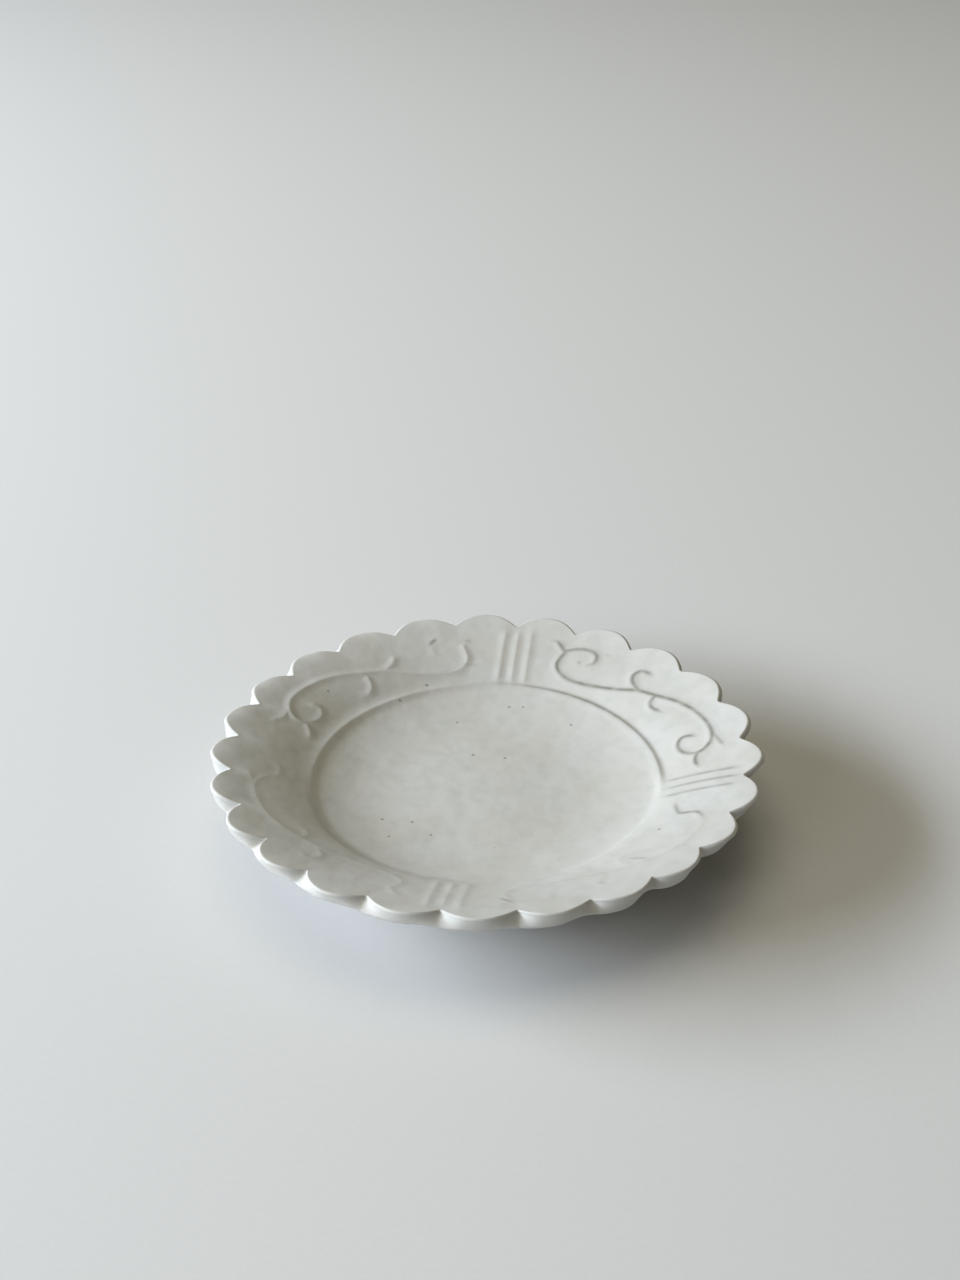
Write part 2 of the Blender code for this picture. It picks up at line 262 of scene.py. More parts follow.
@dataclass(frozen=True)
class GlazeFinish:
    """Off-white satin glaze: darker and greener in random clouds and towards the notches, thin and pale on
    crests, with painted shade along the ornament's lines and round the well, and with iron specks.

    Specks have their place in plan and their radius, in millimetres. Fainter dust lies in between.
    """

    name: str = "white_glaze"
    body: Colour = (0.592, 0.592, 0.572)
    warm: Colour = (0.578, 0.570, 0.536)
    # darker, greener tone of the glaze towards the notches and in random clouds
    deep_tone: Colour = (0.430, 0.440, 0.398)
    # colour of the painted shade along the ornament's lines and round the well
    line: Colour = (0.235, 0.230, 0.200)
    thin: Colour = (0.620, 0.617, 0.592)
    speck: Colour = (0.150, 0.132, 0.110)
    refraction: float = 1.5
    gloss: float = 0.28
    roughness: Pattern = Pattern(7 * MM, (0.30, 0.70), (0.48, 0.64), detail=3.0)
    blotch: Pattern = Pattern(16 * MM, (0.36, 0.66), detail=3.0)
    cloud: Pattern = Pattern(4.5 * MM, (0.42, 0.72), (0.0, 0.22))
    line_break: Pattern = Pattern(4.0 * MM, (0.34, 0.60), (0.70, 1.0), detail=1.0)
    notch_dark_share: float = 0.9
    crest_span: Span = (0.1, 1.0)
    crest_share: float = 0.8
    dent_size: float = 11 * MM
    dent_depth: float = 0.32 * MM
    grain_size: float = 0.9 * MM
    grain_depth: float = 0.016 * MM
    dust_spacing: float = 6.5 * MM
    dust_span: Span = (0.015, 0.055)
    dust_choice: Span = (0.70, 0.95)
    dust_share: float = 0.55
    ragged_size: float = 0.45 * MM
    ragged_reach: float = 0.55
    speck_span: Span = (0.25, 1.35)
    speck_share: float = 0.75
    speck_places: Rows = (
        (-6.1, 16.6, 0.50), (3.1, 16.3, 0.45), (-13.1, 31.3, 0.40), (20.0, 33.4, 0.45),
        (-25.5, -18.6, 0.50), (-17.4, -18.0, 0.50), (-22.1, -26.5, 0.45), (-11.3, -23.2, 0.40),
        (1.0, 40.1, 0.40), (5.1, 40.4, 0.40), (49.2, -21.8, 0.45), (-24.2, 44.0, 0.50),
        (-30.8, 35.8, 0.45), (-51.0, 30.7, 0.45))

    def _specks(self, bench: NodeBench) -> Socket:
        """The iron specks with a place of their own.

        Args:
            bench: the material's nodes.

        Returns:
            How much a point is inside a speck.
        """
        level = {0: bench.place(), 1: (1.0, 1.0, 0.0)}
        flat = bench.node("ShaderNodeVectorMath", level, operation="MULTIPLY")
        nearest = None
        for across, along, radius in self.speck_places:
            ends = {0: flat.outputs["Vector"], 1: (across * MM, along * MM, 0.0)}
            gap = bench.node("ShaderNodeVectorMath", ends, operation="DISTANCE")
            size = bench.math("DIVIDE", gap.outputs["Value"], radius * MM)
            nearest = size if nearest is None else bench.math("MINIMUM", nearest, size)
        ragged = bench.math("ADD", nearest, bench.stray(self.ragged_size, 1.0, self.ragged_reach))
        return bench.spread(ragged, self.speck_span, (self.speck_share, 0.0))

    def _dust(self, bench: NodeBench) -> Socket:
        """Sparse fainter specks all over the glaze.

        Args:
            bench: the material's nodes.

        Returns:
            How much a point is inside a speck.
        """
        inputs = {"Scale": 1.0 / self.dust_spacing, "Randomness": 1.0, "Vector": bench.place()}
        cells = bench.node("ShaderNodeTexVoronoi", inputs, feature="F1")
        dot = bench.spread(cells.outputs["Distance"], self.dust_span, (1.0, 0.0))
        pick = bench.node("ShaderNodeSeparateColor", {"Color": cells.outputs["Color"]})
        chosen = bench.spread(pick.outputs["Red"], self.dust_choice, (0.0, self.dust_share))
        return bench.math("MULTIPLY", dot, chosen)

    def make(self) -> bpy.types.Material:
        """Make the material.

        Returns:
            The finished glaze.
        """
        bench = NodeBench(self.name)
        colour = bench.tint(self.blotch.add(bench), self.body, self.warm)
        # darker, greener glaze towards the notches and in random clouds
        hollow = bench.spread(bench.mark("pool"), (0.0, 1.0), (0.0, self.notch_dark_share))
        colour = bench.tint(bench.math("MAXIMUM", hollow, self.cloud.add(bench)), colour, self.deep_tone)
        crest = bench.spread(bench.mark("thin"), self.crest_span, (0.0, self.crest_share))
        colour = bench.tint(crest, colour, self.thin)
        # painted shade: darker glaze along the ornament's lines and round the well, broken up at random
        line = bench.math("MULTIPLY", bench.mark("line"), self.line_break.add(bench))
        colour = bench.tint(line, colour, self.line)
        spots = bench.math("MAXIMUM", self._specks(bench), self._dust(bench))
        dents = bench.bump(bench.noise(self.dent_size), self.dent_depth)
        bench.feed(bench.shader, {
            "Base Color": bench.tint(spots, colour, self.speck),
            "Metallic": 0.0,
            "IOR": self.refraction,
            "Specular IOR Level": self.gloss,
            "Roughness": self.roughness.add(bench),
            "Normal": bench.bump(bench.noise(self.grain_size), self.grain_depth, dents)})
        return bench.material


@dataclass(frozen=True)
class FootFinish:
    """Glazed walls that end in an uneven line above a rubbed bare-clay edge."""

    name: str = "foot_clay"
    glaze: Colour = (0.570, 0.575, 0.540)
    glaze_edge: Colour = (0.470, 0.455, 0.400)
    clay: Colour = (0.520, 0.440, 0.345)
    clay_dark: Colour = (0.400, 0.325, 0.250)
    clay_rubbed: Colour = (0.60, 0.53, 0.44)
    refraction: float = 1.5
    roughness: Span = (0.86, 0.44)
    glaze_line: float = 1.7 * MM
    line_softness: float = 0.15 * MM
    line_blotch: float = 8 * MM
    line_stray: float = 2.4 * MM
    edge_start: float = 0.1 * MM
    edge_reach: float = 0.9 * MM
    step_depth: float = 0.12 * MM
    grain: Pattern = Pattern(0.7 * MM, (0.35, 0.68), detail=3.0, roughness=0.7)
    grain_depth: float = 0.03 * MM
    rubbed: Pattern = Pattern(11 * MM, (0.35, 0.70), (0.0, 0.35))

    def make(self) -> bpy.types.Material:
        """Make the material.

        Returns:
            The finished clay and glaze of the foot.
        """
        bench = NodeBench(self.name)
        parts = bench.node("ShaderNodeSeparateXYZ", {"Vector": bench.place()})
        above = bench.math("ADD", parts.outputs["Z"], bench.stray(self.line_blotch, 3.0, self.line_stray))
        line = self.glaze_line
        covered = bench.spread(above, (line - self.line_softness, line + self.line_softness))
        grain = self.grain.add(bench)
        clay = bench.tint(grain, self.clay, self.clay_dark)
        clay = bench.tint(self.rubbed.add(bench), clay, self.clay_rubbed)
        edge = bench.spread(above, (line - self.edge_start, line + self.edge_reach), (1.0, 0.0))
        glaze = bench.tint(edge, self.glaze, self.glaze_edge)
        step = bench.bump(covered, self.step_depth)
        bench.feed(bench.shader, {
            "Base Color": bench.tint(covered, clay, glaze),
            "Metallic": 0.0,
            "IOR": self.refraction,
            "Roughness": bench.spread(covered, (0.0, 1.0), self.roughness),
            "Normal": bench.bump(grain, self.grain_depth, step)})
        return bench.material


@dataclass(frozen=True)
class TableFinish:
    """Plain pale table top with a faint tooth."""

    name: str = "pale_table"
    colour: Colour = (0.698, 0.701, 0.701)
    tooth: Pattern = Pattern(1.6 * MM, (0.3, 0.7))
    tooth_tone: float = 0.985
    roughness: float = 0.95
    gloss: float = 0.08

    def make(self) -> bpy.types.Material:
        """Make the material.

        Returns:
            The finished table top.
        """
        bench = NodeBench(self.name)
        darker = tuple(self.tooth_tone * part for part in self.colour)
        bench.feed(bench.shader, {
            "Base Color": bench.tint(self.tooth.add(bench), self.colour, darker),
            "Roughness": self.roughness,
            "Specular IOR Level": self.gloss})
        return bench.material


@dataclass(frozen=True)
class Ending:
    """The strokes in which the two drawings of a scroll differ."""

    outer_tail: Rows
    inner_shoot: Rows
    inner_tail: Rows


class ScrollKind(Enum):
    """The two drawings of a scroll."""

    STRAIGHT = Ending(
        outer_tail=((70.5, 0.72), (74.0, 0.76), (77.0, 0.79)),
        inner_shoot=((47.2, 0.55), (46.4, 0.515), (46.6, 0.455), (47.3, 0.405), (48.9, 0.375), (50.9, 0.385),
                     (53.0, 0.415)),
        inner_tail=((75.9, 0.475), (77.9, 0.43), (80.4, 0.42), (82.6, 0.45)))
    MIRRORED = Ending(
        outer_tail=((72.6, 0.67), (75.6, 0.63), (78.2, 0.63), (80.6, 0.69), (82.0, 0.75)),
        inner_shoot=((46.3, 0.535), (46.4, 0.41), (47.3, 0.30), (49.2, 0.235), (51.4, 0.225)),
        inner_tail=((75.5, 0.40), (76.6, 0.31), (78.6, 0.24), (81.2, 0.20)))


@dataclass(frozen=True)
class Scroll:
    """Where one scroll starts, which way it runs, and how strongly it stands out.

    Its rise is a share of the full height, and its painted shade says how dark a line of shade is painted
    along it. It slides along the rim as a whole, leans at its start and drifts across the rim. On a worn
    scroll the first curl is faint, strokes fade where they leave the vine, and some points are lost at the
    start and end of the vine and at the end of the outer shoot.
    """

    from_angle: float
    turn: int
    kind: ScrollKind
    rise: float
    # how much shade is painted along the scroll's lines
    ink: float
    slide: float = 0.0
    drift: float = 0.0
    lean: float = 0.0
    worn: bool = False
    lost_start: int = 0
    lost_end: int = 0
    lost_hook: int = 0


@dataclass(frozen=True)
class RibGroup:
    """Three ribs side by side, with their rise, the shade painted along them, and how far they sit off the
    axis.
    """

    angle: float
    rise: float
    ink: float
    slide: float = 0.0


@dataclass(frozen=True)
class Ridge:
    """One raised line in plan, in metres, with its rise, the shade painted along it, and whether it starts
    on another line.
    """

    line: Array
    rise: float
    ink: float
    joined: bool = False


@dataclass
class Ornament:
    """The raised ribs and vine scrolls of the rim, as soft ridges under the glaze, with shade painted darker
    along their lines.

    A scroll's points are the angle in degrees from the back or front ribs, then the share of the way
    from the well to the notches. A trace has its painted shade, then points with the angle from +X.
    """

    inner_radius: float = 48.3 * MM
    outer_radius: float = 70.75 * MM
    ridge_height: float = 0.27 * MM
    ridge_half_width: float = 2.3 * MM
    crest_round: float = 0.25 * MM
    ink_half_width: float = 0.62 * MM
    end_fade: float = 2.6 * MM
    end_fade_share: float = 0.3
    end_fullness: float = 0.25
    shoot_weight: float = 0.95
    tail_weight: float = 0.6
    trace_rise: float = 0.4
    worn_curl: float = 0.3
    lean_reach: float = 34.0
    rib_spacing: float = 4.0 * MM
    rib_start: float = 49.0 * MM
    rib_end: float = 68.6 * MM
    rib_points: int = 12
    steps_between_points: int = 6
    union_power: float = 4.0
    vine: Rows = (
        (9.9, 0.8), (11.5, 0.78), (13.2, 0.7), (14.2, 0.64), (13.7, 0.55), (13.4, 0.44), (14.6, 0.34),
        (17.2, 0.27), (20.5, 0.24), (25.5, 0.25), (31.5, 0.3), (36, 0.37), (40.5, 0.46), (46.5, 0.54),
        (52, 0.63), (58, 0.7), (65, 0.735), (70, 0.725), (73.2, 0.66), (75.2, 0.57),
        (76, 0.47), (75.2, 0.38), (72.8, 0.305), (69.5, 0.295), (67.3, 0.36), (67.3, 0.45), (69, 0.54))
    first_curl: Rows = (
        (14.2, 0.66), (16.4, 0.72), (19, 0.755), (21.8, 0.745), (23.2, 0.68), (23.3, 0.59), (22, 0.53))
    outer_shoot: Rows = (
        (40.9, 0.467), (38.6, 0.5), (36.8, 0.545), (35.7, 0.615), (35.8, 0.685), (36.7, 0.74),
        (38.5, 0.757), (40.2, 0.752))
    scrolls: tuple[Scroll, ...] = (
        Scroll(90, -1, ScrollKind.STRAIGHT, rise=0.85, ink=1.0, lean=-0.8),
        Scroll(90, 1, ScrollKind.MIRRORED, rise=1.05, ink=0.06, slide=-0.8, drift=-0.025, lean=2.1,
               worn=True, lost_start=2, lost_hook=3),
        Scroll(270, -1, ScrollKind.STRAIGHT, rise=0.36, ink=0.06, drift=-0.06, worn=True, lost_end=5),
        Scroll(270, 1, ScrollKind.MIRRORED, rise=0.25, ink=0.10, worn=True, lost_end=5))
    traces: tuple[tuple[float, Rows], ...] = (
        (0.80, ((350.2, 0.22), (346.7, 0.28), (344.5, 0.35), (344.6, 0.45), (344.7, 0.54), (343.5, 0.62),
                (341.4, 0.69))),
        (0.45, ((321.2, 0.56), (320.0, 0.45), (319.1, 0.34))),
        (0.15, ((306.1, 0.33), (309.9, 0.40), (313.7, 0.47))),
        (0.32, ((305.1, 0.59), (306.4, 0.70))),
        (0.55, ((281.4, 0.56), (282.9, 0.63), (284.5, 0.72))),
        (0.85, ((114.0, 0.69), (112.9, 0.74), (111.5, 0.79))),
        (0.22, ((115.1, 0.23), (112.5, 0.24), (109.7, 0.26), (107.4, 0.30), (105.4, 0.335), (103.0, 0.32),
                (100.5, 0.315))),
        (0.35, ((104.4, 0.71), (102.2, 0.716))),
        (0.45, ((71.5, 0.553), (70.6, 0.522))),
        (0.20, ((66.2, 0.778), (64.8, 0.772), (63.4, 0.79))))
    ribs: tuple[RibGroup, ...] = (
        RibGroup(358, rise=0.40, ink=0.60, slide=1.5 * MM),
        RibGroup(90, rise=0.80, ink=0.14, slide=-0.2 * MM),
        RibGroup(180, rise=0.10, ink=0.0),
        RibGroup(270, rise=0.42, ink=0.05, slide=-0.6 * MM))

    def _smooth(self, stroke: Rows) -> tuple[Array, Array]:
        """A smooth line through the points of a drawn stroke.

        Args:
            stroke: its points.

        Returns:
            Angles in degrees, and shares of the way across the rim.
        """
        points = np.array(stroke)
        padded = np.concatenate([points[:1], points, points[-1:]])
        share = np.arange(self.steps_between_points)[:, None] / self.steps_between_points
        parts = []
        for index in range(len(points) - 1):
            before, start, end, after = padded[index:index + 4]
            bend = 2 * before - 5 * start + 4 * end - after
            twist = 3 * (start - end) + after - before
            parts.append((2 * start + (end - before) * share + bend * share ** 2 + twist * share ** 3) / 2)
        return tuple(np.concatenate(parts + [points[-1:]]).T)

    def _rim_line(self, degrees: Array, share: Array) -> Array:
        """A line in plan from angles and from shares of the way across the rim."""
        radius = blend(self.inner_radius, self.outer_radius, share)
        return polar_points(radius, np.radians(degrees), 0.0)[:, :2]

    def _scroll_ridges(self) -> list[Ridge]:
        """The scrolls' strokes.

        Returns:
            A ridge for each stroke.
        """
        ridges = []
        for scroll in self.scrolls:
            ending = scroll.kind.value
            vine = self.vine[scroll.lost_start:len(self.vine) - scroll.lost_end]
            shoot = self.outer_shoot[:len(self.outer_shoot) - scroll.lost_hook]
            strokes = ((vine, 1.0), (self.first_curl, self.worn_curl if scroll.worn else 1.0),
                       (shoot, self.shoot_weight), (ending.outer_tail, self.tail_weight),
                       (ending.inner_shoot, self.shoot_weight), (ending.inner_tail, 1.0))
            for stroke, weight in strokes:
                along, share = self._smooth(stroke)
                shift = scroll.slide + scroll.lean * np.clip(1.0 - along / self.lean_reach, 0.0, 1.0)
                degrees = scroll.from_angle + scroll.turn * (along + shift)
                line = self._rim_line(degrees, share + scroll.drift)
                joined = stroke is not vine and not scroll.worn
                ridges.append(Ridge(line, weight * scroll.rise, weight * scroll.ink, joined))
        return ridges

    def _trace_ridges(self) -> list[Ridge]:
        """What is left of worn strokes, as low ridges with painted shade along them."""
        return [Ridge(self._rim_line(*self._smooth(trace)), self.trace_rise * ink, ink)
                for ink, trace in self.traces]

    def _rib_ridges(self) -> list[Ridge]:
        """The ribs.

        Returns:
            A ridge for each rib.
        """
        ridges = []
        along = np.linspace(self.rib_start, self.rib_end, self.rib_points)
        for group in self.ribs:
            outward = np.array([math.cos(math.radians(group.angle)), math.sin(math.radians(group.angle))])
            sideways = np.array([-outward[1], outward[0]])
            for place in (-1, 0, 1):
                side = place * self.rib_spacing + group.slide
                ridges.append(Ridge(along[:, None] * outward + side * sideways, group.rise, group.ink))
        return ridges

    def _fullness(self, ridge: Ridge, spots: Array) -> tuple[Array, Array]:
        """Distance to one ridge's line, and how full the ridge is at the nearest place.

        Args:
            ridge: the ridge.
            spots: points in plan.

        Returns:
            The distance of each spot, and a share that fades towards the line's free ends.
        """
        line = ridge.line
        lengths = np.hypot(*np.diff(line, axis=0).T)
        travelled = np.concatenate([[0.0], np.cumsum(lengths)])
        best = np.full(len(spots), np.inf)
        place = np.zeros(len(spots))
        for index, length in enumerate(lengths):
            start = line[index]
            heading = (line[index + 1] - start) / length
            offset = spots - start
            reach = np.clip(offset @ heading, 0.0, length)
            gap = np.hypot(*(offset - reach[:, None] * heading).T)
            nearer = gap < best
            best[nearer] = gap[nearer]
            place[nearer] = travelled[index] + reach[nearer]
        to_end = travelled[-1] - place
        if not ridge.joined:
            to_end = np.minimum(place, to_end)
        fade = min(self.end_fade, self.end_fade_share * travelled[-1])
        return best, blend(self.end_fullness, 1.0, smooth_ramp(to_end / fade))

    def relief(self, spots: Array) -> tuple[Array, Array]:
        """Height of the ornament at points in plan.

        Args:
            spots: points in plan, in metres.

        Returns:
            The height, and how much shade is painted on the glaze at each point.
        """
        height = np.zeros(len(spots))
        ink = np.zeros(len(spots))
        for ridge in self._scroll_ridges() + self._trace_ridges() + self._rib_ridges():
            low = ridge.line.min(axis=0) - self.ridge_half_width
            high = ridge.line.max(axis=0) + self.ridge_half_width
            near = np.flatnonzero(np.all((spots > low) & (spots < high), axis=1))
            gap, fullness = self._fullness(ridge, spots[near])
            rounded = np.hypot(gap, self.crest_round) - self.crest_round
            crest = np.clip(1.0 - rounded / self.ridge_half_width, 0.0, 1.0) ** 2
            height[near] += (ridge.rise * fullness * crest) ** self.union_power
            # painted shade along the ridge's line
            shade = ridge.ink * fullness * np.exp(-(gap / self.ink_half_width) ** 2)
            ink[near] = np.maximum(ink[near], shade)
        return self.ridge_height * height ** (1.0 / self.union_power), ink


@dataclass(frozen=True)
class Shoulder:
    """How the well turns into the rim: the wall's last kick, then a slope that runs out into the rim's."""

    kick: float
    slope: float
    run: float


@dataclass
class Dish:
    """The pressed dish with its well, bead, flared rim, petal edge and underside, in one glazed skin.

    Rows of places, rounds, widths, painted shade and shares are an angle in degrees from +X towards +Y, then
    a share or a length in millimetres. Waves are a count per turn, a size, in degrees where the petals
    wander, and a phase in degrees. Well rings are a first and a last radius and a count. Strides and seat
    rings are a radius, then one of how many columns has a point there.
    """

    tip_radius: float = 74.8 * MM
    notch_radius: float = 70.5 * MM
    tip_waves: Rows = ((1, 0.40 * MM, 105), (2, 0.35 * MM, 17.7), (3, 0.35 * MM, 342))
    notch_waves: Rows = (
        (1, 0.9 * MM, 39), (5, -0.28 * MM, 20), (7, -0.22 * MM, 130), (11, -0.16 * MM, 250))
    wander_waves: Rows = ((1, 1.10, 108), (2, 0.99, 264), (3, 0.50, 131))
    sway_waves: Rows = ((2, 0.16 * MM, 40), (3, 0.10 * MM, 200), (5, 0.05 * MM, 110))
    tip_places: Rows = (
        (0, 0.3), (12, 0.6), (40, 0.6), (70, 0.4), (90, 0.1), (125, 0.4), (155, 0.5), (170, 0.6), (190, 0.3),
        (215, 0), (345, 0))
    notch_places: Rows = (
        (6, 0), (20, 1.2), (34, 0.5), (50, 0.1), (90, 0.3), (110, 0.6), (128, 1), (150, 1.1), (165, 0.6),
        (195, 0), (215, -0.5), (245, -0.5), (265, -0.2), (300, -0.2), (320, -0.5), (345, -0.6))
    flare_places: Rows = (
        (0, -2.1), (20, -1.7), (45, -1), (90, -0.4), (150, -0.2), (185, -0.6), (205, -0.5), (225, -0.6),
        (250, 0), (270, 0.4), (300, 0.2), (312, -0.4), (325, -1.3), (340, -2))
    lift_places: Rows = (
        (20, 0.6), (45, 0.2), (190, 0.1), (220, 1), (245, 0.9), (268, 0.1), (310, 0.1), (330, 0.6),
        (350, 0.8))
    draw_back_places: Rows = (
        (235, 0), (250, 0.4), (285, 0.35), (297, 0.8), (312, 1.4), (328, 1.3), (342, 0.5), (352, 0))
    draw_back_start: float = 0.3
    draw_back_power: float = 1.5
    draw_back_lift: float = 0.8
    notch_shares_below: Rows = (
        (0, 0.6), (90, 0.6), (180, 0.45), (225, 0.3), (270, 0.2), (300, 0.25), (330, 0.5))
    petal_skew: float = 0.12
    petal_fullness: float = 1.1
    # how much darker the glaze is towards the notches
    notch_darkening: float = 0.25
    notch_steepness: float = 3.0
    notch_rounds: Rows = ((0, 0.14), (100, 0.14), (150, 0.06), (325, 0.06), (345, 0.14))
    petals: int = 24
    well_radius: float = 48.1 * MM
    well_flat_radius: float = 18.0 * MM
    well_depth: float = 4.2 * MM
    well_curve: float = 2.4
    wall_kick_place: float = 47.3 * MM
    wall_kick_width: float = 0.95 * MM
    floor_top: float = 10.5 * MM
    rim_slope: float = 0.46
    rim_flare: float = 8.6
    crisp_shoulder: Shoulder = Shoulder(kick=0.08, slope=-0.20, run=1.5 * MM)
    soft_shoulder: Shoulder = Shoulder(kick=0.32, slope=0.20, run=4.2 * MM)
    plain_shoulder: Shoulder = Shoulder(kick=0.20, slope=0.50, run=2.0 * MM)
    shoulder_width: float = 0.5 * MM
    shoulder_blend: float = 0.3 * MM
    profile_step: float = 0.05 * MM
    profile_margin: float = 12 * MM
    lip_inset: float = 6.7 * MM
    lip_rise: float = 0.5 * MM
    back_lift: float = 1.5 * MM
    back_angle: float = 64.0
    rim_thickness: float = 3.4 * MM
    edge_rounds: Rows = ((0, 1), (30, 1.4), (100, 1.5), (150, 1.2), (190, 0.8), (240, 0.6), (310, 0.6))
    least_drop: float = 0.3
    low_edge_round: float = 0.7 * MM
    droop_places: Rows = ((0, 0.3), (95, 0.4), (125, 0.9), (165, 0.9), (190, 0.6), (215, 0.3))
    droop_power: int = 4
    pillow_places: Rows = (
        (0, 0.15), (40, 0.12), (100, 0.12), (140, 0.28), (190, 0.28), (225, 0.15), (300, 0.12))
    pillow_steepness: float = 1.6
    under_belly: float = 0.6 * MM
    under_fade_power: int = 8
    seat_height: float = 6.0 * MM
    seat_radius: float = 38.2 * MM
    crisp_places: Rows = (
        (2, 0), (9, 0.75), (40, 1), (80, 0.9), (95, 0.6), (115, 0.4), (135, 0.25), (160, 0))
    open_places: Rows = ((3, 0.3), (12, 0), (165, 0), (180, 0.35), (198, 0.75), (220, 1), (355, 1))
    # shade painted into the valley round the well, by place
    valley_ink: Rows = (
        (4, 0), (12, 0.22), (36, 0.28), (58, 0.62), (74, 0.58), (90, 0.3), (120, 0.2), (140, 0.08),
        (155, 0), (188, 0), (205, 0.3), (225, 0.36), (245, 0.24), (275, 0), (300, 0.06), (330, 0.1),
        (346, 0))
    valley_widths: Rows = ((0, 1.4), (30, 1.3), (60, 1.05), (75, 0.85), (330, 0.8))
    valley_offset: float = 0.45 * MM
    ring_places: Rows = (
        (9, 0), (45, 0.1), (60, 0.4), (75, 0.6), (90, 0.4), (105, 0), (200, 0), (218, 0.4), (240, 0.2),
        (260, 0), (310, -0.3), (334, -0.8), (352, 0))
    ring_reach: float = 6.0 * MM
    columns_per_petal: int = 48
    crowding: float = 0.055
    well_rings: Rows = ((1.2 * MM, 22 * MM, 12), (23.2 * MM, 45.6 * MM, 24))
    well_strides: Rows = ((14 * MM, 2), (6 * MM, 4), (0.0, 8))
    rim_start: float = 45.9 * MM
    rim_step: float = 0.27 * MM
    lip_rings: int = 32
    edge_rings: int = 9
    face_rings: int = 7
    low_rings: int = 4
    under_rings: int = 18
    seat_rings: Rows = ((36 * MM, 2), (31 * MM, 4), (22 * MM, 4), (12 * MM, 8), (5 * MM, 8))
    ornament: Ornament = field(default_factory=Ornament)

    def __post_init__(self) -> None:
        self.skin = RingSkin()
        self.half_petal = math.pi / self.petals
        self.lip_start = self.notch_radius - self.lip_inset
        self.columns = self.petals * self.columns_per_petal
        share = np.arange(self.columns) / self.columns_per_petal
        self.angles = (share - self.crowding * np.sin(2 * np.pi * share)) * 2 * self.half_petal
        self.radii, self.profiles = self._profiles()
        self.edge_height = float(np.interp(self.tip_radius, self.radii, self.profiles[0])) + self.lip_rise

    def _edge_radius(self, angle: Array, tip: Array, notch: Array) -> Array:
        """Plan outline of the edge: round petals, leaning a little to the front, that meet in notches.

        Args:
            angle: angles in radians.
            tip: radius of the petals' tips at each angle.
            notch: radius of the notches at each angle.

        Returns:
            The edge's radius at each angle.
        """
        half_chord = notch * np.sin(self.half_petal)
        sagitta = tip - notch * np.cos(self.half_petal)
        petal_radius = (half_chord ** 2 + sagitta ** 2) / (2 * sagitta)
        centre = tip - petal_radius
        share = np.mod(angle, 2 * self.half_petal) / self.half_petal - 1.0
        lean = -self.petal_skew * np.cos(angle)
        offset = self.half_petal * (share - lean * (1.0 - share ** 2))
        arc = centre * np.cos(offset) + np.sqrt(petal_radius ** 2 - (centre * np.sin(offset)) ** 2)
        rise = np.clip((arc - notch) / (tip - notch), 0.0, 1.0) ** self.petal_fullness
        notch_round = by_place(angle, self.notch_rounds)
        rounded = np.hypot(rise, notch_round) - notch_round * (1.0 - rise)
        return blend(notch, tip, rounded)

    def _profiles(self) -> tuple[Array, list[Array]]:
        """Heights of the upper surface along a radius, without ornament.

        Returns:
            Radii, and the heights with a crisp shoulder round the well, with a soft one and without one.
        """
        radii = np.arange(0.0, self.tip_radius + self.profile_margin, self.profile_step)
        reach = self.well_radius - self.well_flat_radius
        climb = np.clip((radii - self.well_flat_radius) / reach, 0.0, 1.0)
        wall = self.well_depth / reach * self.well_curve * climb ** (self.well_curve - 1.0)
        steeper = np.exp(-((radii - self.wall_kick_place) / self.wall_kick_width) ** 2 / 2)
        past_well = radii - self.well_radius
        rim = self.rim_slope - self.rim_flare * np.maximum(0.0, past_well)
        inward = smooth_ramp((past_well + self.shoulder_blend) / (2 * self.shoulder_blend))
        profiles = []
        for shoulder in (self.crisp_shoulder, self.soft_shoulder, self.plain_shoulder):
            outward = smooth_ramp((past_well - self.shoulder_width) / shoulder.run)
            slope = blend(wall + shoulder.kick * steeper, blend(shoulder.slope, rim, outward), inward)
            profiles.append(self.floor_top + np.cumsum(slope) * self.profile_step)
        return radii, profiles

    def _ring_radius(self, radius: Values, angle: Array) -> Array:
        """Radius as seen from the ring round the well, which lies a little off the plate's middle."""
        near = np.exp(-((radius - self.well_radius) / self.ring_reach) ** 2)
        return radius - MM * by_place(angle, self.ring_places) * near

    def _surface(self, radius: Values, angle: Array) -> Array:
        """Height of the upper surface without ornament, with the slow unevenness of the making.

        Args:
            radius: distances from the axis.
            angle: angles in radians.

        Returns:
            The height at each point.
        """
        from_ring = self._ring_radius(radius, angle)
        crisp, soft, plain = (np.interp(from_ring, self.radii, heights) for heights in self.profiles)
        height = blend(soft, crisp, by_place(angle, self.crisp_places))
        height = blend(height, plain, by_place(angle, self.open_places))
        rim_share = np.maximum(0.0, (radius - self.well_radius) / (self.tip_radius - self.well_radius))
        return height + wave_sum(angle, self.sway_waves) * rim_share ** 2

    def _petal_share(self, angle: Array) -> Array:
        """0 at a notch and 1 at a petal's middle."""
        return 1.0 - np.abs(np.mod(angle, 2 * self.half_petal) - self.half_petal) / self.half_petal

    def _draw_back(self, angle: Array) -> Array:
        """How far the lower edge draws back under the right half of the front petals."""
        swell = (1.0 - np.cos(self.petals * angle - 2 * np.pi * self.draw_back_start)) / 2
        return MM * by_place(angle, self.draw_back_places) * swell ** self.draw_back_power

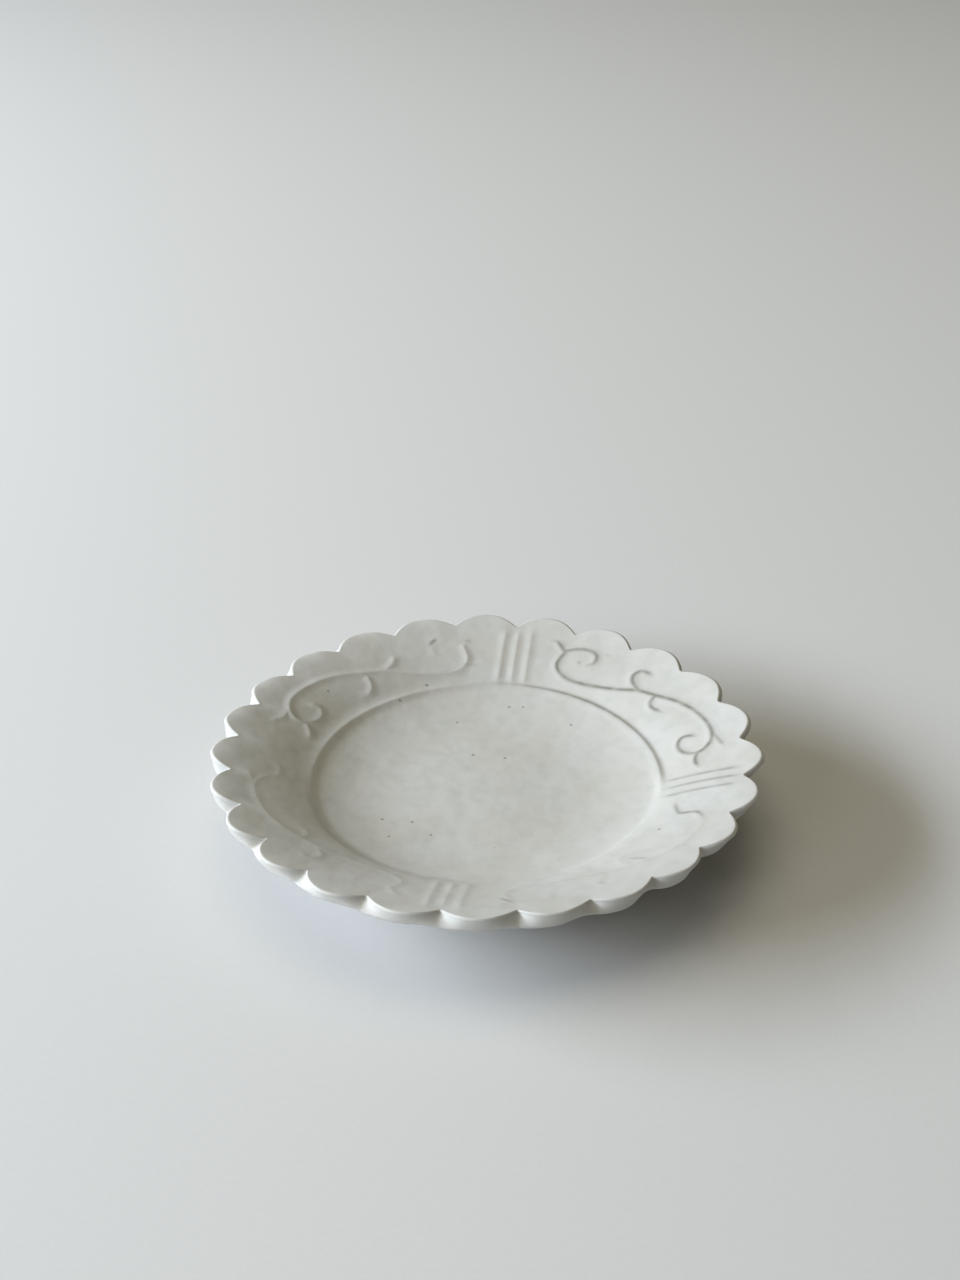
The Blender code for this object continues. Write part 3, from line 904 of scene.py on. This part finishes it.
    def _lip_surface(self, radius: Array, angle: Array, share: Array) -> Array:
        """Height near the edge, where each petal is a soft pillow and the surface dips into the notches.

        Args:
            radius: distances from the axis, a row for each ring.
            angle: angles in radians, of the same shape.
            share: for each ring, the share of the way to the edge.

        Returns:
            The height at each point.
        """
        past = (radius - self.lip_start) / (self.tip_radius - self.lip_start)
        petal = self._petal_share(angle)
        notch = 1.0 - smooth_ramp(self.pillow_steepness * petal)
        dip = MM * by_place(angle, self.pillow_places) * notch * smooth_ramp(share)
        droop = MM * by_place(angle, self.droop_places) * smooth_ramp(petal) * share ** self.droop_power
        lift = self.back_lift * np.maximum(0.0, np.cos(angle - math.radians(self.back_angle))) ** 2
        return self._surface(radius, angle) + (self.lip_rise + lift) * past ** 2 - dip - droop

    def _top_rings(self) -> None:
        """The well and the rim up to where the petals begin."""
        middle = np.zeros(1)
        self.skin.add(polar_points(middle, middle, self._surface(middle, middle)))
        for start, end, count in self.well_rings:
            for radius in np.linspace(start, end, count):
                stride = next(stride for inner, stride in self.well_strides if radius >= inner)
                angle = self.angles[::stride]
                self.skin.add(polar_points(radius, angle, self._surface(radius, angle)))
        count = len(np.arange(self.rim_start, self.lip_start, self.rim_step)) + 1
        radii = np.linspace(self.rim_start, self.lip_start, count)
        radius = np.repeat(radii[:, None], self.columns, axis=1)
        angle = np.broadcast_to(self.angles, radius.shape)
        self._add_relief_rings(radius, angle, self._surface(radius, angle))

    def _add_relief_rings(self, radius: Array, angle: Array, height: Array) -> None:
        """Add rings whose height carries the ornament, and which carry the shade painted along it and round
        the well.

        Args:
            radius: distances from the axis, a row for each ring.
            angle: angles of the same shape.
            height: heights of the bare surface, of the same shape.
        """
        spots = polar_points(radius, angle, 0.0).reshape(-1, 3)[:, :2]
        relief, ink = (part.reshape(radius.shape) for part in self.ornament.relief(spots))
        from_valley = self._ring_radius(radius, angle) - self.well_radius - self.valley_offset
        valley = np.exp(-(from_valley / (MM * by_place(angle, self.valley_widths))) ** 2)
        # painted shade along the ornament's lines and in the valley round the well, passed to the glaze as
        # the line mark
        line = np.maximum(ink, valley * by_place(angle, self.valley_ink))
        for points, shade in zip(polar_points(radius, angle, height + relief), line):
            self.skin.add(points, line=shade)

    def _outlines(self) -> tuple[Array, Array]:
        """Plan outlines of the petals.

        Returns:
            The radius of each column at the upper edge, and at the lower edge before it draws back.
        """
        angle = self.angles
        tip = self.tip_radius + wave_sum(angle, self.tip_waves) + MM * by_place(angle, self.tip_places)
        notch = self.notch_radius + wave_sum(angle, self.notch_waves)
        notch = notch + MM * by_place(angle, self.notch_places)
        shallow = blend(tip, notch, by_place(angle, self.notch_shares_below))
        low = self._edge_radius(angle, tip, shallow) + MM * by_place(angle, self.flare_places)
        return self._edge_radius(angle, tip, notch), low

    def _lip_rings(self, strayed: Array, lip_end: Array) -> Array:
        """The upper faces of the petals.

        Args:
            strayed: angles of the columns at the edge.
            lip_end: the radius at which each column begins to turn down.

        Returns:
            The height of the last ring.
        """
        shares = steps(self.lip_rings)[:, None]
        radius = blend(self.lip_start, lip_end, shares)
        turned = blend(self.angles, strayed, smooth_ramp(shares))
        height = self._lip_surface(radius, np.broadcast_to(self.angles, radius.shape), shares)
        self._add_relief_rings(radius, turned, height)
        return height[-1]

    def _edge_rings(self) -> tuple[Array, Array, Array]:
        """The petals, their rounded edge and its outer face.

        Returns:
            Angle, radius and height of the last ring, at the lower edge.
        """
        angle = self.angles
        strayed = angle + np.radians(wave_sum(angle, self.wander_waves))
        top_radius, low_radius = self._outlines()
        edge_round = MM * by_place(angle, self.edge_rounds)
        lip_end = top_radius - edge_round
        top_height = self._lip_rings(strayed, lip_end)
        draw_back = self._draw_back(angle)
        lift = MM * by_place(angle, self.lift_places) + self.draw_back_lift * draw_back
        low_height = self._under_height(low_radius) + lift
        low_radius = low_radius - draw_back
        drop = edge_round * np.clip((top_height - low_height) / self.rim_thickness, self.least_drop, 1.0)
        # darker glaze towards the notches, fading down the outer face
        notch = 1.0 - smooth_ramp(self.notch_steepness * self._petal_share(angle))
        pool = self.notch_darkening * notch
        for turn in QUARTER_TURN * steps(self.edge_rings):
            radius = lip_end + edge_round * math.sin(turn)
            height = top_height - drop * (1 - math.cos(turn))
            crest = math.sin(2 * turn) * (1.0 - notch)
            self.skin.add(polar_points(radius, strayed, height), thin=crest, pool=pool)
        face_top = top_height - drop
        face_low = low_height + self.low_edge_round
        for share in steps(self.face_rings):
            radius = blend(top_radius, low_radius, share)
            height = blend(face_top, face_low, share)
            self.skin.add(polar_points(radius, strayed, height), pool=pool * (1.0 - share))
        for turn in QUARTER_TURN * steps(self.low_rings):
            radius = low_radius - self.low_edge_round * (1 - math.cos(turn))
            self.skin.add(polar_points(radius, strayed, face_low - self.low_edge_round * math.sin(turn)))
        return strayed, low_radius - self.low_edge_round, low_height

    def _under_height(self, radius: Array) -> Array:
        """Height of the plain flaring underside, which sags a little between foot and edge."""
        share = (radius - self.seat_radius) / (self.tip_radius - self.seat_radius)
        flare = blend(self.seat_height, self.edge_height - self.rim_thickness, share)
        return flare - self.under_belly * 4 * share * (1 - share)

    def _under_rings(self, angle: Array, radius: Array, height: Array) -> None:
        """The plain underside, in to the seat of the foot and across it.

        Args:
            angle: angles of the edge's last ring.
            radius: its distances from the axis.
            height: its heights.
        """
        above = height - self._under_height(radius)
        for share in steps(self.under_rings):
            reach = blend(radius, self.seat_radius, share)
            level = self._under_height(reach) + above * (1 - share) ** self.under_fade_power
            self.skin.add(polar_points(reach, blend(angle, self.angles, share), level)[::2])
        for reach, stride in self.seat_rings:
            self.skin.add(polar_points(reach, self.angles[::stride], self.seat_height))
        self.skin.add(np.array([[0.0, 0.0, self.seat_height]]))

    def build(self) -> bpy.types.Object:
        """Build the dish.

        Returns:
            The glazed dish.
        """
        self._top_rings()
        angle, radius, height = self._edge_rings()
        self._under_rings(angle, radius, height)
        return self.skin.to_object("glazed_dish")

    def dress(self, piece: bpy.types.Object, finish: GlazeFinish, nodes: list[str]) -> None:
        """Give the dish its glaze and its place on the plate.

        Args:
            piece: the dish.
            finish: its glaze.
            nodes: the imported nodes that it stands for.
        """
        piece.data.materials.append(finish.make())
        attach(piece, ROOT)
        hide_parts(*nodes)


@dataclass
class FootRing:
    """The ring that the plate stands on, with a small hollow curve where it meets the dish."""

    outer_radius: float = 37.0 * MM
    width: float = 6.0 * MM
    height: float = 6.0 * MM
    taper: float = 0.8 * MM
    corner: float = 0.6 * MM
    fillet: float = 1.2 * MM
    uneven_waves: Rows = ((3, 0.10 * MM, 70), (5, 0.06 * MM, 15))
    columns: int = 360
    wall_rings: int = 8
    curve_rings: int = 6
    face_rings: int = 3

    def _outline(self) -> tuple[Array, Array]:
        """Cross-section from the outer top, down, across the standing face and up the inner wall.

        Returns:
            Radii, and heights above the table.
        """
        turns = np.linspace(0.0, QUARTER_TURN, self.curve_rings + 1)
        shares = steps(self.wall_rings)[:-1]
        low = self.outer_radius - self.taper
        outer = np.concatenate([self.outer_radius + self.fillet * (1 - np.cos(turns[::-1])),
                                blend(self.outer_radius, low, shares),
                                low - self.corner * (1 - np.cos(turns))])
        level = np.concatenate([self.height - self.fillet * (1 - np.sin(turns[::-1])),
                                blend(self.height - self.fillet, self.corner, shares),
                                self.corner * (1 - np.sin(turns))])
        inner = 2 * self.outer_radius - self.width - outer
        face = blend(outer[-1], inner[-1], steps(self.face_rings + 1)[:-1])
        return (np.concatenate([outer, face, inner[::-1]]),
                np.concatenate([level, np.zeros(self.face_rings), level[::-1]]))

    def build(self) -> bpy.types.Object:
        """Build the foot.

        Returns:
            The foot ring.
        """
        skin = RingSkin()
        angle = np.arange(self.columns) * 2 * np.pi / self.columns
        for radius, level in zip(*self._outline()):
            uneven = wave_sum(angle, self.uneven_waves) * level / self.height
            skin.add(polar_points(radius + uneven, angle, level))
        return skin.to_object("foot_ring_dressed", closed=True)

    def dress(self, piece: bpy.types.Object, finish: FootFinish) -> None:
        """Give the foot its finish and its place under the dish.

        Args:
            piece: the foot ring.
            finish: its clay and glaze.
        """
        piece.data.materials.append(finish.make())
        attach(piece, ROOT)
        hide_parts("foot_ring")


@dataclass(frozen=True)
class Lamp:
    """A broad soft lamp that faces the plate: where it stands, in degrees, its size and its strength."""

    name: str
    azimuth: float
    elevation: float
    width: float
    height: float
    power: float
    colour: Colour

    def build(self, distance: float) -> None:
        """Hang the lamp.

        Args:
            distance: how far it is from the plate's middle.
        """
        light = bpy.data.lights.new(self.name, "AREA")
        light.shape = "RECTANGLE"
        light.size = self.width
        light.size_y = self.height
        light.energy = self.power
        light.color = self.colour
        holder = bpy.data.objects.new(self.name, light)
        azimuth = math.radians(self.azimuth)
        elevation = math.radians(self.elevation)
        level = math.cos(elevation)
        towards = Vector((level * math.cos(azimuth), level * math.sin(azimuth), math.sin(elevation)))
        holder.location = towards * distance
        holder.rotation_euler = towards.to_track_quat("Z", "Y").to_euler()
        bpy.context.scene.collection.objects.link(holder)


@dataclass
class Studio:
    """Table, light and camera."""

    table_half_width: float = 4.0
    lamp_distance: float = 1.8
    lamps: tuple[Lamp, ...] = (
        Lamp("window", azimuth=187, elevation=22.8, width=1.9, height=0.40, power=56.3,
             colour=(0.90, 0.98, 1.08)),
        Lamp("front_fill", azimuth=238, elevation=26, width=0.8, height=0.5, power=4.0,
             colour=(1.0, 1.0, 0.98)),
        Lamp("ceiling_fill", azimuth=120, elevation=75, width=1.6, height=1.6, power=9.0,
             colour=(1.08, 1.0, 0.78)))
    fill_colour: Colour = (1.10, 1.0, 0.72)
    fill_strength: float = 0.07
    camera_place: tuple[float, float, float] = (0.06614, -0.43247, 0.3149)
    camera_pitch: float = 59.63
    camera_heading: float = 8.86
    camera_roll: float = -0.46
    camera_lens: float = 54.0
    camera_clip: float = 0.01
    sensor_height: float = 36.0

    def build_table(self, finish: TableFinish) -> bpy.types.Object:
        """Lay the table top.

        Args:
            finish: its surface.

        Returns:
            The table top.
        """
        half = self.table_half_width
        corners = [(-half, -half, 0), (half, -half, 0), (half, half, 0), (-half, half, 0)]
        mesh = bpy.data.meshes.new("table_top")
        mesh.from_pydata(corners, [], [(0, 1, 2, 3)])
        mesh.materials.append(finish.make())
        table = bpy.data.objects.new("table_top", mesh)
        bpy.context.scene.collection.objects.link(table)
        return table

    def build_light(self) -> None:
        """A broad soft window light from the left, two weaker fills, and a dim warm light from all round."""
        for lamp in self.lamps:
            lamp.build(self.lamp_distance)
        world = bpy.data.worlds.new("fill")
        world.use_nodes = True
        background = world.node_tree.nodes["Background"]
        background.inputs["Color"].default_value = (*self.fill_colour, 1.0)
        background.inputs["Strength"].default_value = self.fill_strength
        bpy.context.scene.world = world

    def build_camera(self) -> None:
        """Stand the camera at the viewing angle."""
        camera = bpy.data.cameras.new("view")
        camera.lens = self.camera_lens
        camera.sensor_fit = "VERTICAL"
        camera.sensor_height = self.sensor_height
        camera.clip_start = self.camera_clip
        holder = bpy.data.objects.new("view", camera)
        turn = Matrix.Rotation(math.radians(self.camera_heading), 4, "Z")
        tilt = Matrix.Rotation(math.radians(self.camera_pitch), 4, "X")
        roll = Matrix.Rotation(math.radians(self.camera_roll), 4, "Z")
        holder.matrix_world = Matrix.Translation(self.camera_place) @ turn @ tilt @ roll
        bpy.context.scene.collection.objects.link(holder)
        bpy.context.scene.camera = holder


def main() -> None:
    """Build the plate's looks, then the table, the light and the camera."""
    logging.basicConfig(level=logging.INFO, format="%(message)s")
    bpy.context.scene.view_settings.view_transform = "Standard"
    dish = Dish()
    dish_piece = dish.build()
    dish.dress(dish_piece, GlazeFinish(), sorted(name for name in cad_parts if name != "foot_ring"))
    log.info("%s: %d points", dish_piece.name, len(dish_piece.data.vertices))
    foot = FootRing()
    foot_piece = foot.build()
    foot.dress(foot_piece, FootFinish())
    log.info("%s: %d points", foot_piece.name, len(foot_piece.data.vertices))
    studio = Studio()
    table = studio.build_table(TableFinish())
    log.info("%s: the stage", table.name)
    studio.build_light()
    studio.build_camera()


if __name__ == "__main__":
    main()
